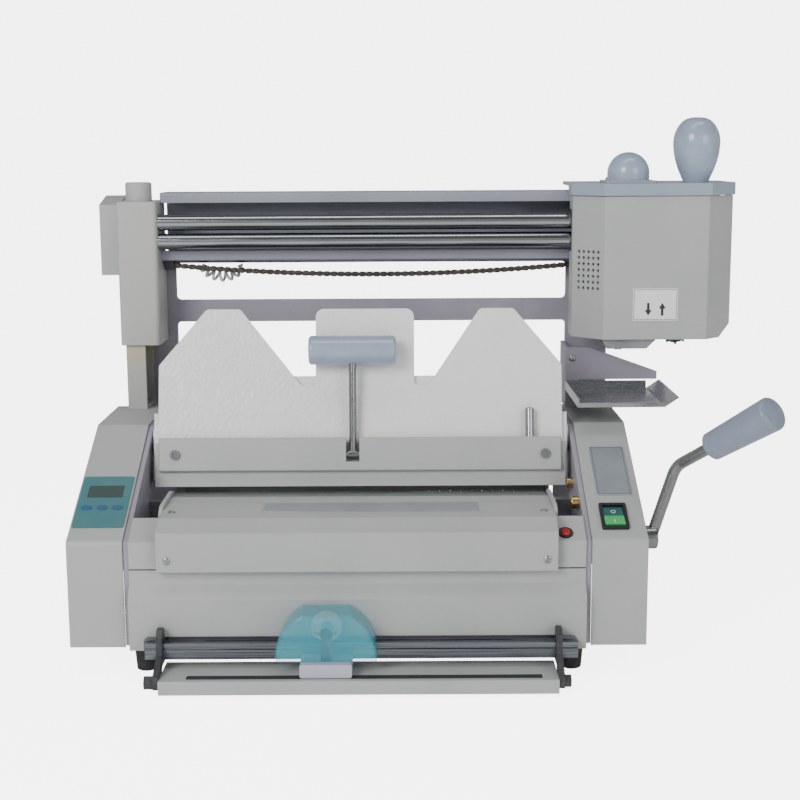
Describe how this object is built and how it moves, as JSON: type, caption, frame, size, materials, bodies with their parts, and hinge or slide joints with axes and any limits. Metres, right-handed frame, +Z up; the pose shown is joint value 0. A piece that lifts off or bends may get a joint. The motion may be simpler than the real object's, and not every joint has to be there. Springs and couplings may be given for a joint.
{
  "type": "perfect binding machine",
  "caption": "Table-top perfect binder: turning book clamp, sliding glue head on two rods, spine nip with lever, cover creasing rail and side covers.",
  "frame": {"origin": "on the table, under the middle of the whole outline in X and Y", "axes": "+X to the machine's right as its user faces it, +Y to its back, +Z up"},
  "size_m": [0.5535, 0.33, 0.426],
  "materials": {
    "cover_paint": "light warm grey powder coat, fine orange peel",
    "clamp_paint": "white hammered paint",
    "frame_paint": "purple-grey paint",
    "lid_paint": "blue-grey paint",
    "grip_plastic": "blue-grey gloss plastic",
    "bright_steel": "polished",
    "brushed_steel": "brushed",
    "aluminium": "extruded, satin",
    "dark_casting": "dark grey satin",
    "black_plastic": "black",
    "black_rubber": "matte",
    "teal_film": "satin teal film",
    "display_glass": "dark green-grey window",
    "key_blue": "blue film keys",
    "rocker_green": "green translucent plastic",
    "button_red": "red plastic",
    "teal_clear": "translucent teal",
    "roller_rubber": "pale rubber",
    "cord_plastic": "pale grey cord",
    "chain_steel": "oiled steel",
    "brass": "turned",
    "grey_casting": "cast grey"
  },
  "bodies": {
    "machine": {"back_box": "cover_paint", "base_frame": "frame_paint", "base_front_cover": "cover_paint", "button_base": "black_plastic", "console_cover": "cover_paint", "control_box": "grey_casting", "cover_screws": "brushed_steel", "crease_arms": "dark_casting", "crease_platform": "cover_paint", "crease_rail": "aluminium", "curly_cord": "cord_plastic", "display_window": "display_glass", "drip_tray": "bright_steel", "guide_rods": "bright_steel", "hanging_brackets": "dark_casting", "left_post": "cover_paint", "left_side_cover": "cover_paint", "lower_front_panel": "cover_paint", "nip_bed": "brushed_steel", "panel_keys": "key_blue", "post_caps": "cover_paint", "power_inlet": "black_plastic", "rear_channel": "frame_paint", "rear_frame": "frame_paint", "right_side_cover": "cover_paint", "roller_chain": "chain_steel", "rubber_feet": "black_rubber", "switch_bezel": "black_plastic", "table_stops": "brass", "table_strip": "cover_paint", "temperature_panel": "teal_film", "tray_bracket": "frame_paint"},
    "head": {"head_shell": "cover_paint", "head_lid": "lid_paint", "pear_handle": "grip_plastic", "carriage_block": "grey_casting", "glue_tank": "grey_casting"},
    "flap": {"filler_flap": "lid_paint", "dome_knob": "grip_plastic"},
    "roller": {"glue_roller": "grey_casting"},
    "cutter": {"notching_cutter": "dark_casting"},
    "clamp": {"clamp_rear_plate": "clamp_paint", "clamp_cheeks": "clamp_paint"},
    "jaw": {"clamp_front_plate": "clamp_paint", "jaw_bar": "cover_paint", "jaw_strip": "cover_paint", "jaw_studs": "bright_steel"},
    "closing_lever": {"t_lever": "brushed_steel", "t_grip": "grip_plastic"},
    "nip_handle": {"nip_shaft": "brushed_steel", "nip_lever": "brushed_steel", "nip_grip": "grip_plastic"},
    "nip_slide": {"nip_bar": "brushed_steel"},
    "slider": {"slider_block": "grey_casting", "slider_guard": "teal_clear", "wheel_axle": "bright_steel"},
    "wheel": {"creasing_wheel": "roller_rubber"},
    "rocker": {"switch_rocker": "rocker_green"},
    "button": {"push_button": "button_red"},
    "thumb": {"thumb_screw": "dark_casting"}
  },
  "joints": [
    {"name": "head_slide", "type": "slide", "parent": "machine", "child": "head", "axis": [1, 0, 0], "range_m": [-0.348, 0]},
    {"name": "flap_hinge", "type": "hinge", "parent": "head", "child": "flap", "pos_m": [0.185, 0.109, 0.3732], "axis": [-1, 0, 0], "range_deg": [0, 100]},
    {"name": "roller_spin", "type": "hinge", "parent": "head", "child": "roller", "pos_m": [0.177, 0.078, 0.239], "axis": [0, 1, 0], "range_deg": [-1820, 5]},
    {"name": "cutter_spin", "type": "hinge", "parent": "head", "child": "cutter", "pos_m": [0.227, 0.075, 0.247], "axis": [0, 1, 0], "continuous": true},
    {"name": "clamp_turn", "type": "hinge", "parent": "machine", "child": "clamp", "pos_m": [-0.045, 0.026, 0.16], "axis": [-1, 0, 0], "range_deg": [0, 180]},
    {"name": "jaw_slide", "type": "slide", "parent": "clamp", "child": "jaw", "axis": [0, -0.9681, 0.2504], "range_m": [0, 0.036]},
    {"name": "closing_lever_turn", "type": "hinge", "parent": "jaw", "child": "closing_lever", "pos_m": [-0.051, -0.0062, 0.15263], "axis": [1, 0, 0], "range_deg": [0, 85]},
    {"name": "nip_lever_turn", "type": "hinge", "parent": "machine", "child": "nip_handle", "pos_m": [-0.045, -0.09, 0.104], "axis": [1, 0, 0], "range_deg": [0, 50]},
    {"name": "nip_bar_slide", "type": "slide", "parent": "machine", "child": "nip_slide", "axis": [0, 1, 0], "range_m": [0, 0.00451]},
    {"name": "slider_slide", "type": "slide", "parent": "machine", "child": "slider", "axis": [1, 0, 0], "range_m": [-0.084, 0.132]},
    {"name": "wheel_spin", "type": "hinge", "parent": "slider", "child": "wheel", "pos_m": [-0.068, -0.124, 0.0452], "axis": [0, 1, 0], "range_deg": [-402, 631]},
    {"name": "rocker_tilt", "type": "hinge", "parent": "machine", "child": "rocker", "pos_m": [0.1531, -0.08534, 0.11803], "axis": [1, 0, 0], "range_deg": [0, 12]},
    {"name": "button_press", "type": "slide", "parent": "machine", "child": "button", "axis": [0, 0.4614, -0.8872], "range_m": [0, 0.0015], "stiffness_N_per_m": 300},
    {"name": "thumb_screw_turn", "type": "hinge", "parent": "machine", "child": "thumb", "pos_m": [-0.2, -0.148, 0.00975], "axis": [1, 0, 0], "continuous": true}
  ],
  "couplings": [
    {"joint": "roller_spin", "follows": "head_slide", "rad_per_m": 90.909},
    {"joint": "nip_bar_slide", "follows": "nip_lever_turn", "m_per_rad": 0.0051566},
    {"joint": "wheel_spin", "follows": "slider_slide", "rad_per_m": 83.333}
  ]
}
